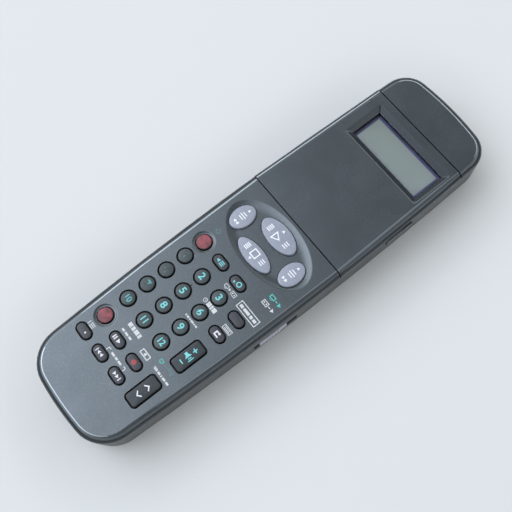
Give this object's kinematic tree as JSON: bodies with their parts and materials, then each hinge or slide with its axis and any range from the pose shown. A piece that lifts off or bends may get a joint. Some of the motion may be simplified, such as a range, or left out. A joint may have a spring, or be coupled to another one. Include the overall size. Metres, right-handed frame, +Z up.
{
  "type": "video recorder remote control",
  "caption": "Hand-held infrared remote control of a video recorder: keypad, transport keys, display under a hinged lid, side switch and battery bay.",
  "frame": {"origin": "middle of the back face that the handset lies on", "axes": "+Z up out of the keypad face, +Y to the infrared head, +X to the right-hand side that carries the slide switch"},
  "size_m": [0.06, 0.215, 0.0233],
  "materials": {
    "face_plastic": "satin metallic paint, dark grey",
    "back_plastic": "fine texture, dark grey",
    "number_rubber": "soft matt",
    "key_rubber": "soft matt",
    "transport_plastic": "satin lavender grey",
    "power_rubber": "worn matt",
    "knob_plastic": "satin",
    "lens_clear": "polished",
    "display_grey": "satin reflector",
    "holder_plastic": "moulded",
    "sheet_rubber": "matt",
    "board_green": "solder mask",
    "board_brown": "phenolic board",
    "chip_black": "moulded",
    "ribbon_film": "film",
    "infrared_dark": "polished",
    "diode_resin": "clear resin",
    "cell_wrap": "printed film, unlettered",
    "steel": "nickel plated"
  },
  "bodies": {
    "case": {"lower_case": "back_plastic", "upper_case": "face_plastic", "hinge_pins": "steel", "display_lens": "lens_clear", "display_glass": "display_grey", "display_holder": "holder_plastic", "contact_strips": "sheet_rubber", "display_board": "board_green", "controller_chip": "chip_black", "keypad_board": "board_brown", "board_ribbon": "ribbon_film", "keypad_sheet": "sheet_rubber", "program_sheet": "sheet_rubber", "contact_pads": "chip_black", "switch_body": "steel", "infrared_window": "infrared_dark", "infrared_diodes": "diode_resin", "battery_left": "cell_wrap", "battery_right": "cell_wrap", "battery_springs": "steel", "battery_plates": "steel", "case_screws": "steel"},
    "lid_body": {"lid": "face_plastic"},
    "cover_body": {"battery_cover": "back_plastic"},
    "knob_body": {"switch_knob": "knob_plastic"},
    "volume_rocker_body": {"volume_rocker": "key_rubber"},
    "channel_rocker_body": {"channel_rocker": "key_rubber"},
    "rewind_key_body": {"rewind_key": "transport_plastic"},
    "play_key_body": {"play_key": "transport_plastic"},
    "stop_key_body": {"stop_key": "transport_plastic"},
    "forward_key_body": {"forward_key": "transport_plastic"},
    "upper_power_key_body": {"upper_power_key": "power_rubber"},
    "lower_power_key_body": {"lower_power_key": "power_rubber"},
    "tuner_key_body": {"tuner_key": "key_rubber"},
    "satellite_key_body": {"satellite_key": "key_rubber"},
    "display_key_body": {"display_key": "key_rubber"},
    "page_key_body": {"page_key": "key_rubber"},
    "pause_key_body": {"pause_key": "key_rubber"},
    "record_key_body": {"record_key": "key_rubber"},
    "memory_key_body": {"memory_key": "key_rubber"},
    "skip_back_key_body": {"skip_back_key": "key_rubber"},
    "skip_on_key_body": {"skip_on_key": "key_rubber"},
    "number_key_1_body": {"number_key_1": "number_rubber"},
    "number_key_2_body": {"number_key_2": "number_rubber"},
    "number_key_3_body": {"number_key_3": "number_rubber"},
    "number_key_4_body": {"number_key_4": "number_rubber"},
    "number_key_5_body": {"number_key_5": "number_rubber"},
    "number_key_6_body": {"number_key_6": "number_rubber"},
    "number_key_7_body": {"number_key_7": "number_rubber"},
    "number_key_8_body": {"number_key_8": "number_rubber"},
    "number_key_9_body": {"number_key_9": "number_rubber"},
    "number_key_10_body": {"number_key_10": "number_rubber"},
    "number_key_11_body": {"number_key_11": "number_rubber"},
    "number_key_12_body": {"number_key_12": "number_rubber"},
    "program_key_1_body": {"program_key_1": "key_rubber"},
    "program_key_2_body": {"program_key_2": "key_rubber"},
    "program_key_3_body": {"program_key_3": "key_rubber"},
    "program_key_4_body": {"program_key_4": "key_rubber"}
  },
  "joints": [
    {"name": "lid_hinge", "type": "hinge", "parent": "case", "child": "lid_body", "pos_m": [-0.02755, 0.01785, 0.0201], "axis": [-0.0256, -0.9997, 0], "range_deg": [0, 120]},
    {"name": "cover_slide", "type": "slide", "parent": "case", "child": "cover_body", "axis": [0, -1, 0], "range_m": [0, 0.06]},
    {"name": "switch_slide", "type": "slide", "parent": "case", "child": "knob_body", "axis": [0, 1, 0], "range_m": [0, 0.005]},
    {"name": "volume_rocker_tip", "type": "hinge", "parent": "case", "child": "volume_rocker_body", "pos_m": [0.0175, -0.05305, 0.0205], "axis": [1, 0, 0], "range_deg": [-3, 3], "stiffness_Nm_per_rad": 0.14},
    {"name": "channel_rocker_tip", "type": "hinge", "parent": "case", "child": "channel_rocker_body", "pos_m": [0.0175, -0.07585, 0.0205], "axis": [1, 0, 0], "range_deg": [-3, 3], "stiffness_Nm_per_rad": 0.14},
    {"name": "rewind_key_press", "type": "slide", "parent": "case", "child": "rewind_key_body", "axis": [0, 0, -1], "range_m": [0, 0.0006], "stiffness_N_per_m": 1200},
    {"name": "play_key_press", "type": "slide", "parent": "case", "child": "play_key_body", "axis": [0, 0, -1], "range_m": [0, 0.0006], "stiffness_N_per_m": 1200},
    {"name": "stop_key_press", "type": "slide", "parent": "case", "child": "stop_key_body", "axis": [0, 0, -1], "range_m": [0, 0.0006], "stiffness_N_per_m": 1200},
    {"name": "forward_key_press", "type": "slide", "parent": "case", "child": "forward_key_body", "axis": [0, 0, -1], "range_m": [0, 0.0006], "stiffness_N_per_m": 1200},
    {"name": "upper_power_key_press", "type": "slide", "parent": "case", "child": "upper_power_key_body", "axis": [0, 0, -1], "range_m": [0, 0.0006], "stiffness_N_per_m": 1200},
    {"name": "lower_power_key_press", "type": "slide", "parent": "case", "child": "lower_power_key_body", "axis": [0, 0, -1], "range_m": [0, 0.0006], "stiffness_N_per_m": 1200},
    {"name": "tuner_key_press", "type": "slide", "parent": "case", "child": "tuner_key_body", "axis": [0, 0, -1], "range_m": [0, 0.0006], "stiffness_N_per_m": 1200},
    {"name": "satellite_key_press", "type": "slide", "parent": "case", "child": "satellite_key_body", "axis": [0, 0, -1], "range_m": [0, 0.0006], "stiffness_N_per_m": 1200},
    {"name": "display_key_press", "type": "slide", "parent": "case", "child": "display_key_body", "axis": [0, 0, -1], "range_m": [0, 0.0006], "stiffness_N_per_m": 1200},
    {"name": "page_key_press", "type": "slide", "parent": "case", "child": "page_key_body", "axis": [0, 0, -1], "range_m": [0, 0.0006], "stiffness_N_per_m": 1200},
    {"name": "pause_key_press", "type": "slide", "parent": "case", "child": "pause_key_body", "axis": [0, 0, -1], "range_m": [0, 0.0006], "stiffness_N_per_m": 1200},
    {"name": "record_key_press", "type": "slide", "parent": "case", "child": "record_key_body", "axis": [0, 0, -1], "range_m": [0, 0.0006], "stiffness_N_per_m": 1200},
    {"name": "memory_key_press", "type": "slide", "parent": "case", "child": "memory_key_body", "axis": [0, 0, -1], "range_m": [0, 0.0006], "stiffness_N_per_m": 1200},
    {"name": "skip_back_key_press", "type": "slide", "parent": "case", "child": "skip_back_key_body", "axis": [0, 0, -1], "range_m": [0, 0.0006], "stiffness_N_per_m": 1200},
    {"name": "skip_on_key_press", "type": "slide", "parent": "case", "child": "skip_on_key_body", "axis": [0, 0, -1], "range_m": [0, 0.0006], "stiffness_N_per_m": 1200},
    {"name": "number_key_1_press", "type": "slide", "parent": "case", "child": "number_key_1_body", "axis": [0, 0, -1], "range_m": [0, 0.0006], "stiffness_N_per_m": 1200},
    {"name": "number_key_2_press", "type": "slide", "parent": "case", "child": "number_key_2_body", "axis": [0, 0, -1], "range_m": [0, 0.0006], "stiffness_N_per_m": 1200},
    {"name": "number_key_3_press", "type": "slide", "parent": "case", "child": "number_key_3_body", "axis": [0, 0, -1], "range_m": [0, 0.0006], "stiffness_N_per_m": 1200},
    {"name": "number_key_4_press", "type": "slide", "parent": "case", "child": "number_key_4_body", "axis": [0, 0, -1], "range_m": [0, 0.0006], "stiffness_N_per_m": 1200},
    {"name": "number_key_5_press", "type": "slide", "parent": "case", "child": "number_key_5_body", "axis": [0, 0, -1], "range_m": [0, 0.0006], "stiffness_N_per_m": 1200},
    {"name": "number_key_6_press", "type": "slide", "parent": "case", "child": "number_key_6_body", "axis": [0, 0, -1], "range_m": [0, 0.0006], "stiffness_N_per_m": 1200},
    {"name": "number_key_7_press", "type": "slide", "parent": "case", "child": "number_key_7_body", "axis": [0, 0, -1], "range_m": [0, 0.0006], "stiffness_N_per_m": 1200},
    {"name": "number_key_8_press", "type": "slide", "parent": "case", "child": "number_key_8_body", "axis": [0, 0, -1], "range_m": [0, 0.0006], "stiffness_N_per_m": 1200},
    {"name": "number_key_9_press", "type": "slide", "parent": "case", "child": "number_key_9_body", "axis": [0, 0, -1], "range_m": [0, 0.0006], "stiffness_N_per_m": 1200},
    {"name": "number_key_10_press", "type": "slide", "parent": "case", "child": "number_key_10_body", "axis": [0, 0, -1], "range_m": [0, 0.0006], "stiffness_N_per_m": 1200},
    {"name": "number_key_11_press", "type": "slide", "parent": "case", "child": "number_key_11_body", "axis": [0, 0, -1], "range_m": [0, 0.0006], "stiffness_N_per_m": 1200},
    {"name": "number_key_12_press", "type": "slide", "parent": "case", "child": "number_key_12_body", "axis": [0, 0, -1], "range_m": [0, 0.0006], "stiffness_N_per_m": 1200},
    {"name": "program_key_1_press", "type": "slide", "parent": "case", "child": "program_key_1_body", "axis": [0, 0, -1], "range_m": [0, 0.0006], "stiffness_N_per_m": 1200},
    {"name": "program_key_2_press", "type": "slide", "parent": "case", "child": "program_key_2_body", "axis": [0, 0, -1], "range_m": [0, 0.0006], "stiffness_N_per_m": 1200},
    {"name": "program_key_3_press", "type": "slide", "parent": "case", "child": "program_key_3_body", "axis": [0, 0, -1], "range_m": [0, 0.0006], "stiffness_N_per_m": 1200},
    {"name": "program_key_4_press", "type": "slide", "parent": "case", "child": "program_key_4_body", "axis": [0, 0, -1], "range_m": [0, 0.0006], "stiffness_N_per_m": 1200}
  ]
}
